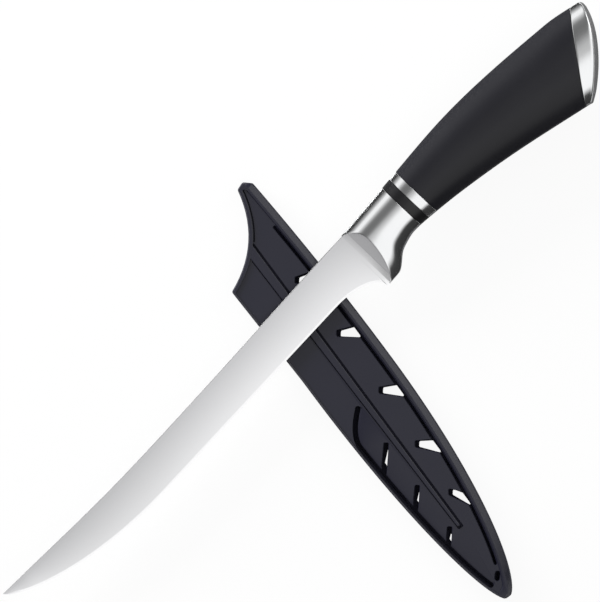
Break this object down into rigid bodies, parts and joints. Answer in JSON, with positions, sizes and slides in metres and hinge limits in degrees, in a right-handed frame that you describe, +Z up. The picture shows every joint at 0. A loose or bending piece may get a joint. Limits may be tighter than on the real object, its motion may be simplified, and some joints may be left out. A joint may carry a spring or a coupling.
{
  "type": "kitchen knife",
  "caption": "Slim upswept kitchen knife with a scooped steel bolster, black grip and steel end cap, lying across its own vented black blade cover.",
  "frame": {"origin": "middle of the assembly's box on the surface it lies on", "axes": "+X from the handle to the blade tip, +Y from the spine to the cutting edge, +Z up off the surface"},
  "size_m": [0.338, 0.1938, 0.021],
  "materials": {
    "blade_steel": "satin ground steel",
    "polished_steel": "polished stainless steel",
    "black_spacer": "smooth moulded black plastic",
    "black_grip": "satin moulded black plastic",
    "fastener_steel": "zinc plated steel",
    "cover_black": "satin moulded black plastic"
  },
  "bodies": {
    "cover": {"sheath_front_half": "cover_black", "sheath_back_half": "cover_black"},
    "knife": {"blade": "blade_steel", "bolster": "polished_steel", "front_spacer": "black_spacer", "collar_ring": "polished_steel", "grip": "black_grip", "tang_stud": "fastener_steel", "stud_washer": "fastener_steel", "stud_nut": "fastener_steel", "end_cap": "polished_steel"}
  },
  "joints": [
    {"name": "knife_lift", "type": "slide", "parent": "cover", "child": "knife", "axis": [0, 0, 1], "range_m": [0, 0.05]}
  ]
}
